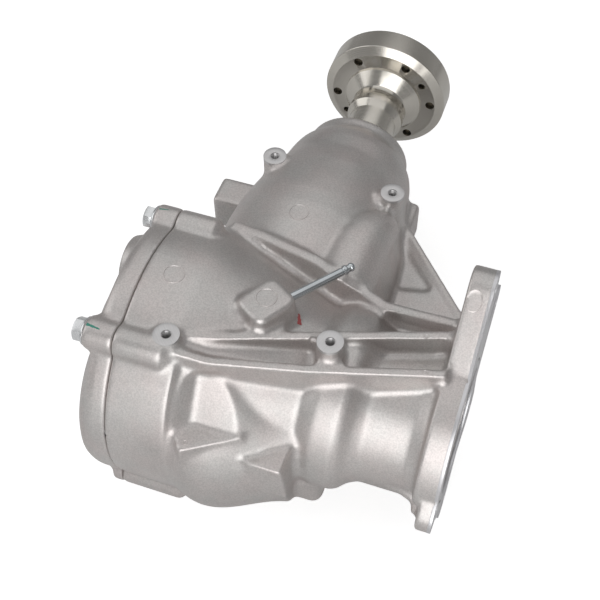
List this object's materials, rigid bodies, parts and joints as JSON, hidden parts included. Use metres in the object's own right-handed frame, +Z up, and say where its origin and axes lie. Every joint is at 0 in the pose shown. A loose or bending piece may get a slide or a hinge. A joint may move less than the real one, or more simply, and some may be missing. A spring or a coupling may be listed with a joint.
{
  "type": "right-angle transfer case",
  "caption": "Cast housing with a bevel gear pair that turns a hollow splined input shaft's motion through a right angle to a round output flange.",
  "frame": {"origin": "the point where the axis of the hollow input shaft and the axis of the output shaft cross", "axes": "+X along the input shaft to the mounting face, +Y along the output shaft to the output flange, +Z up"},
  "size_m": [0.2658, 0.4376, 0.222],
  "materials": {
    "cast_aluminium": "as cast, satin",
    "steel": "machined",
    "gear_steel": "ground",
    "zinc": "zinc plated",
    "rubber": "matt",
    "copper": "plain",
    "cage_steel": "pressed"
  },
  "bodies": {
    "case": {"housing": "cast_aluminium", "cover": "cast_aluminium", "cover_bolts": "zinc", "cover_dowels": "steel", "breather_tube": "zinc", "drain_plug": "zinc", "drain_washer": "copper", "fill_plug": "zinc", "fill_washer": "copper", "cover_bearing_shim": "steel", "cover_shaft_seal": "rubber", "neck_shaft_seal": "rubber", "pinion_seal": "rubber", "cover_o_ring": "rubber", "flange_o_ring": "rubber", "cover_bearing_cup": "gear_steel", "neck_bearing_cup": "gear_steel", "pinion_head_bearing_cup": "gear_steel", "pinion_tail_bearing_cup": "gear_steel"},
    "input": {"input_shaft": "gear_steel", "ring_gear": "gear_steel", "ring_gear_bolts": "zinc", "cover_bearing_cone": "gear_steel", "neck_bearing_cone": "gear_steel"},
    "output": {"pinion_shaft": "gear_steel", "pinion_shim": "steel", "crush_sleeve": "steel", "pinion_head_bearing_cone": "gear_steel", "pinion_tail_bearing_cone": "gear_steel", "output_flange": "steel", "pinion_nut": "zinc", "nut_washer": "steel", "dust_shield": "zinc"},
    "cover_bearing_cage_set": {"cover_bearing_rollers": "gear_steel", "cover_bearing_cage": "cage_steel"},
    "neck_bearing_cage_set": {"neck_bearing_rollers": "gear_steel", "neck_bearing_cage": "cage_steel"},
    "pinion_head_cage_set": {"pinion_head_bearing_rollers": "gear_steel", "pinion_head_bearing_cage": "cage_steel"},
    "pinion_tail_cage_set": {"pinion_tail_bearing_rollers": "gear_steel", "pinion_tail_bearing_cage": "cage_steel"}
  },
  "joints": [
    {"name": "input_spin", "type": "hinge", "parent": "case", "child": "input", "pos_m": [0, 0, 0], "axis": [1, 0, 0], "continuous": true},
    {"name": "output_spin", "type": "hinge", "parent": "case", "child": "output", "pos_m": [0, 0.2, 0], "axis": [0, 1, 0], "continuous": true},
    {"name": "cover_bearing_roll", "type": "hinge", "parent": "case", "child": "cover_bearing_cage_set", "pos_m": [-0.088, 0, 0], "axis": [1, 0, 0], "continuous": true},
    {"name": "neck_bearing_roll", "type": "hinge", "parent": "case", "child": "neck_bearing_cage_set", "pos_m": [0.061, 0, 0], "axis": [1, 0, 0], "continuous": true},
    {"name": "pinion_head_roll", "type": "hinge", "parent": "case", "child": "pinion_head_cage_set", "pos_m": [0, 0.104, 0], "axis": [0, 1, 0], "continuous": true},
    {"name": "pinion_tail_roll", "type": "hinge", "parent": "case", "child": "pinion_tail_cage_set", "pos_m": [0, 0.194, 0], "axis": [0, 1, 0], "continuous": true}
  ],
  "couplings": [
    {"joint": "output_spin", "follows": "input_spin", "ratio": 2.3846},
    {"joint": "cover_bearing_roll", "follows": "input_spin", "ratio": 0.4363},
    {"joint": "neck_bearing_roll", "follows": "input_spin", "ratio": 0.4363},
    {"joint": "pinion_head_roll", "follows": "input_spin", "ratio": 0.9837},
    {"joint": "pinion_tail_roll", "follows": "input_spin", "ratio": 0.9658}
  ]
}
